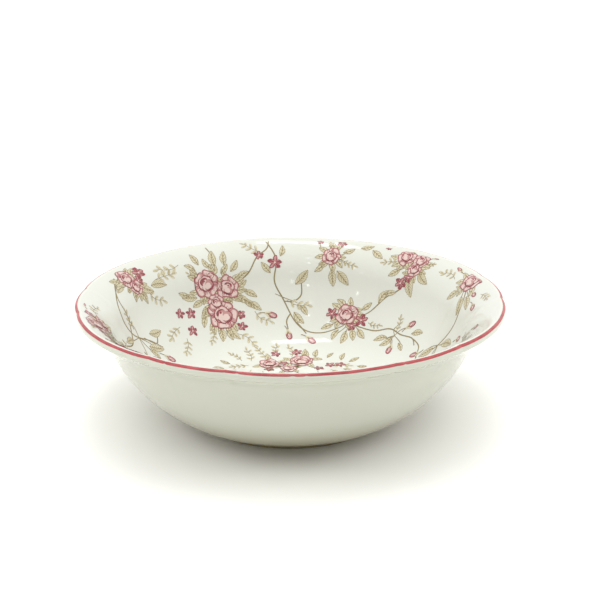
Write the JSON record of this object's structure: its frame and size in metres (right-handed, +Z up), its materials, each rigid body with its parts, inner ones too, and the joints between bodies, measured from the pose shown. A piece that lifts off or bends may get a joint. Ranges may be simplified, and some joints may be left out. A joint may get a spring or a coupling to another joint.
{
  "type": "porcelain serving bowl",
  "caption": "Round white porcelain serving bowl with a foot ring, a flared softly lobed rim, a red rim line and a printed rose pattern inside.",
  "frame": {"origin": "centre of the foot ring's bearing plane", "axes": "+Z up along the bowl's axis, out of its mouth; the lobed rim repeats every 60 degrees about Z, with a narrow lobe centred 5 degrees from +X; -Y faces the viewer of the front view"},
  "size_m": [0.229, 0.23, 0.066],
  "materials": {
    "biscuit_porcelain": "matt, fired and unglazed at the bearing edge",
    "ivory_glaze": "glossy ivory glaze",
    "red_enamel": "glossy overglaze enamel, slightly worn",
    "rose_print": "glossy fired transfer print"
  },
  "bodies": {
    "root": {"bowl_body": "biscuit_porcelain", "glaze_coat": "ivory_glaze", "rim_line": "red_enamel", "centre_print": "rose_print", "wall_print_1": "rose_print", "wall_print_2": "rose_print", "wall_print_3": "rose_print", "wall_print_4": "rose_print", "wall_print_5": "rose_print", "wall_print_6": "rose_print"}
  },
  "joints": []
}
